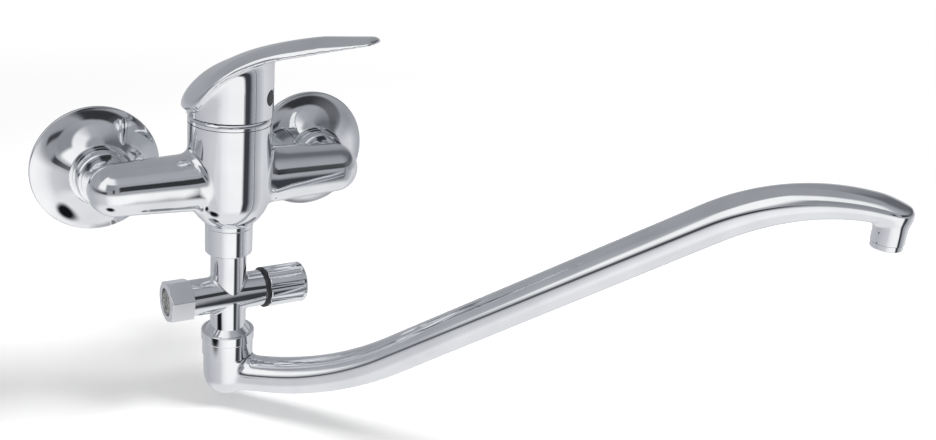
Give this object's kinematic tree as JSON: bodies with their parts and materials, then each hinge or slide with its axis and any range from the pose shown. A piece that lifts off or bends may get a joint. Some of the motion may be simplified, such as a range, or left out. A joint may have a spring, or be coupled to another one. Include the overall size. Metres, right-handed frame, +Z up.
{
  "type": "wall mixer tap",
  "caption": "Wall-mounted single-lever mixer tap: round body with wall unions and rosettes, a shower diverter below and a long swivelling bent spout.",
  "frame": {"origin": "on the wall face, midway between the two inlets and level with the arms", "axes": "+X to the right along the wall, +Y into the wall, +Z up"},
  "size_m": [0.4202, 0.3622, 0.2667],
  "materials": {
    "chrome": "polished",
    "brass": "machined",
    "steel": "satin",
    "ceramic": "lapped",
    "rubber": "matt",
    "white_plastic": "moulded",
    "black_plastic": "moulded"
  },
  "bodies": {
    "tap": {"left_s_union": "chrome", "left_rosette": "chrome", "left_union_nut": "chrome", "left_inlet_nipple": "chrome", "right_s_union": "chrome", "right_rosette": "chrome", "right_union_nut": "chrome", "right_inlet_nipple": "chrome", "mixer_body": "chrome", "trim_ring": "chrome", "outlet_nut": "chrome", "diverter_body": "chrome", "shower_outlet_hex": "chrome", "spout_nut": "chrome", "cartridge_nut": "brass", "diverter_headwork": "brass", "fixed_ceramic_disc": "ceramic", "left_inlet_gasket": "rubber", "right_inlet_gasket": "rubber", "outlet_gasket": "rubber", "cartridge_seals": "rubber", "cartridge_base": "white_plastic", "cartridge_housing": "white_plastic", "spout_slip_ring": "white_plastic", "shower_check_valve": "white_plastic", "diverter_stop_ring": "black_plastic"},
    "turner": {"cartridge_turner": "white_plastic", "stem_pin": "steel"},
    "lever": {"lever": "chrome", "lever_stem": "brass", "lever_grub_screw": "steel", "screw_cap": "black_plastic"},
    "disc": {"moving_ceramic_disc": "ceramic", "disc_carrier": "white_plastic"},
    "diverter": {"diverter_spindle": "brass", "diverter_knob": "chrome", "knob_screw": "steel", "knob_cap": "chrome"},
    "spout": {"spout": "chrome", "spout_o_rings": "rubber", "aerator_housing": "chrome", "aerator_insert": "white_plastic", "aerator_gasket": "rubber"}
  },
  "joints": [
    {"name": "lever_turn", "type": "hinge", "parent": "tap", "child": "turner", "pos_m": [0, -0.045, 0], "axis": [0, 0, 1], "range_deg": [-95, 5]},
    {"name": "lever_lift", "type": "hinge", "parent": "turner", "child": "lever", "pos_m": [0, -0.045, 0.031], "axis": [-0.7071, -0.7071, 0], "range_deg": [0, 18]},
    {"name": "disc_slide", "type": "slide", "parent": "turner", "child": "disc", "axis": [0.7071, -0.7071, 0], "range_m": [0, 0.0026]},
    {"name": "diverter_turn", "type": "hinge", "parent": "tap", "child": "diverter", "pos_m": [0, -0.045, -0.083], "axis": [1, 0, 0], "range_deg": [0, 90]},
    {"name": "spout_swivel", "type": "hinge", "parent": "tap", "child": "spout", "pos_m": [0, -0.045, -0.12], "axis": [0, 0, 1], "range_deg": [-135, 45]}
  ],
  "couplings": [
    {"joint": "disc_slide", "follows": "lever_lift", "m_per_rad": 0.0081}
  ]
}
